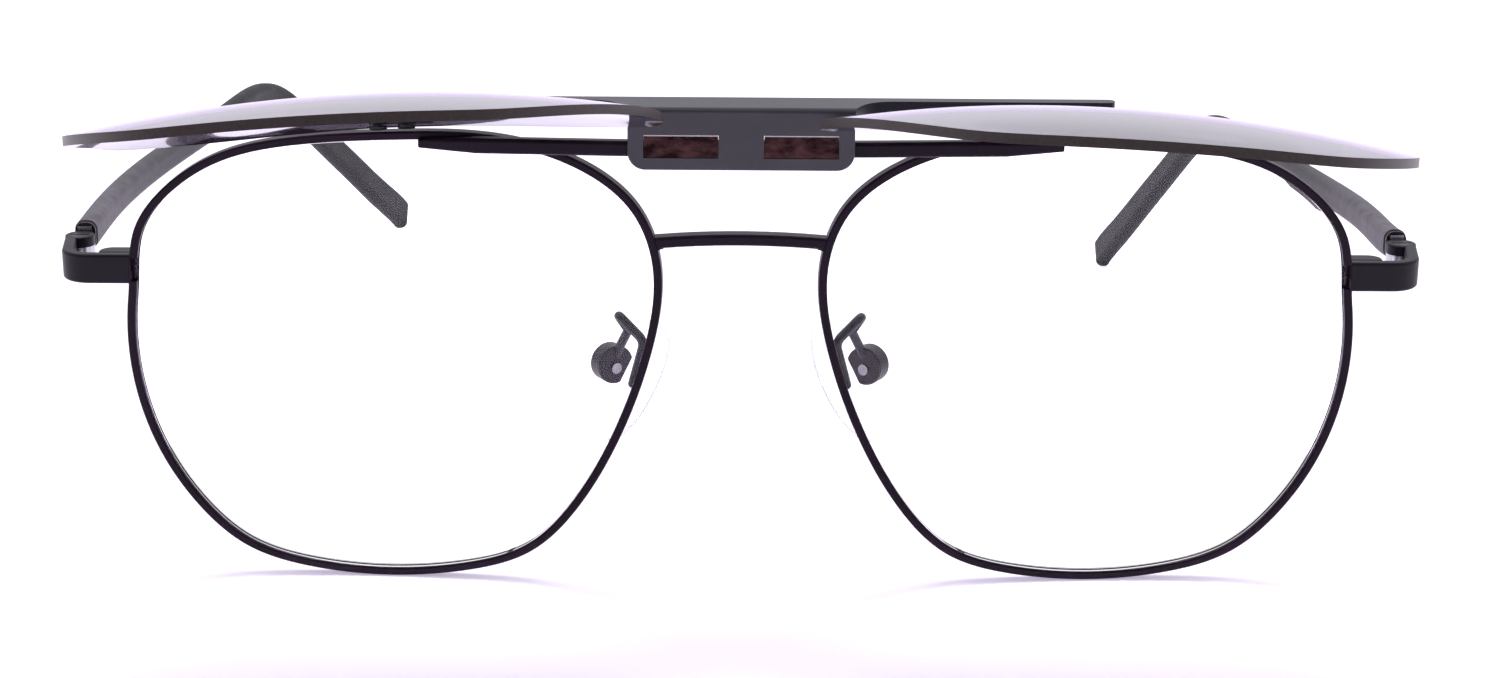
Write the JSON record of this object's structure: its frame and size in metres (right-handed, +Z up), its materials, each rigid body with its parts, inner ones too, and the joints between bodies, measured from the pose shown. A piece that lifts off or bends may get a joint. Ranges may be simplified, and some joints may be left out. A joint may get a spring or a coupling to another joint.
{
  "type": "magnetic clip on glasses",
  "caption": "Full-rim metal spectacles with a magnetic clip-on that flips up over the brow bar, folding temples and rocking nose pads.",
  "frame": {"origin": "on the surface the glasses stand on, midway between the lowest points of the two rims", "axes": "+Z up, +Y back along the temples, +X to the right as seen from the front"},
  "size_m": [0.1458, 0.1938, 0.06],
  "materials": {
    "frame_metal": "satin black enamel",
    "clip_metal": "satin charcoal enamel",
    "core_metal": "satin grey enamel",
    "screw_steel": "blackened steel",
    "bright_screw": "polished steel",
    "magnet": "polished nickel, reflecting warm surroundings",
    "clear_lens": "clear, polished",
    "clip_lens": "grey tint, polished, with a pale reflective coat",
    "clear_silicone": "clear soft silicone",
    "temple_plastic": "matte charcoal",
    "collar_plastic": "matte black"
  },
  "bodies": {
    "front": {"lower_bridge": "frame_metal", "brow_bar": "frame_metal", "rim_left": "frame_metal", "optical_lens_left": "clear_lens", "frame_magnet_left": "magnet", "endpiece_left": "frame_metal", "hinge_screw_left": "screw_steel", "rim_lock_upper_left": "frame_metal", "rim_lock_lower_left": "frame_metal", "rim_lock_screw_left": "screw_steel", "pad_arm_left": "frame_metal", "pad_box_left": "frame_metal", "pad_screw_left": "bright_screw", "rim_right": "frame_metal", "optical_lens_right": "clear_lens", "frame_magnet_right": "magnet", "endpiece_right": "frame_metal", "hinge_screw_right": "screw_steel", "rim_lock_upper_right": "frame_metal", "rim_lock_lower_right": "frame_metal", "rim_lock_screw_right": "screw_steel", "pad_arm_right": "frame_metal", "pad_box_right": "frame_metal", "pad_screw_right": "bright_screw"},
    "clip": {"clip_bracket": "clip_metal", "clip_magnet_left": "magnet", "clip_lens_left": "clip_lens", "clip_lens_screws_left": "screw_steel", "clip_magnet_right": "magnet", "clip_lens_right": "clip_lens", "clip_lens_screws_right": "screw_steel"},
    "temple_left": {"temple_core_left": "core_metal", "temple_sleeve_left": "temple_plastic", "temple_collar_left": "collar_plastic"},
    "nose_pad_left": {"nose_pad_left": "clear_silicone"},
    "temple_right": {"temple_core_right": "core_metal", "temple_sleeve_right": "temple_plastic", "temple_collar_right": "collar_plastic"},
    "nose_pad_right": {"nose_pad_right": "clear_silicone"}
  },
  "joints": [
    {"name": "clip_flip", "type": "hinge", "parent": "front", "child": "clip", "pos_m": [0, -0.00332, 0.04791], "axis": [1, 0, 0], "range_deg": [0, 102]},
    {"name": "temple_left_fold", "type": "hinge", "parent": "front", "child": "temple_left", "pos_m": [-0.07085, 0.00892, 0.03398], "axis": [0, 0.0349, -0.9994], "range_deg": [0, 83]},
    {"name": "temple_right_fold", "type": "hinge", "parent": "front", "child": "temple_right", "pos_m": [0.07085, 0.00892, 0.03398], "axis": [0, -0.0349, 0.9994], "range_deg": [0, 67]},
    {"name": "nose_pad_left_rock", "type": "hinge", "parent": "front", "child": "nose_pad_left", "pos_m": [-0.01384, 0.0063, 0.02212], "axis": [-0.5299, 0.8475, 0.0296], "range_deg": [-8, 8]},
    {"name": "nose_pad_right_rock", "type": "hinge", "parent": "front", "child": "nose_pad_right", "pos_m": [0.01384, 0.0063, 0.02212], "axis": [0.5299, 0.8475, 0.0296], "range_deg": [-8, 8]}
  ]
}
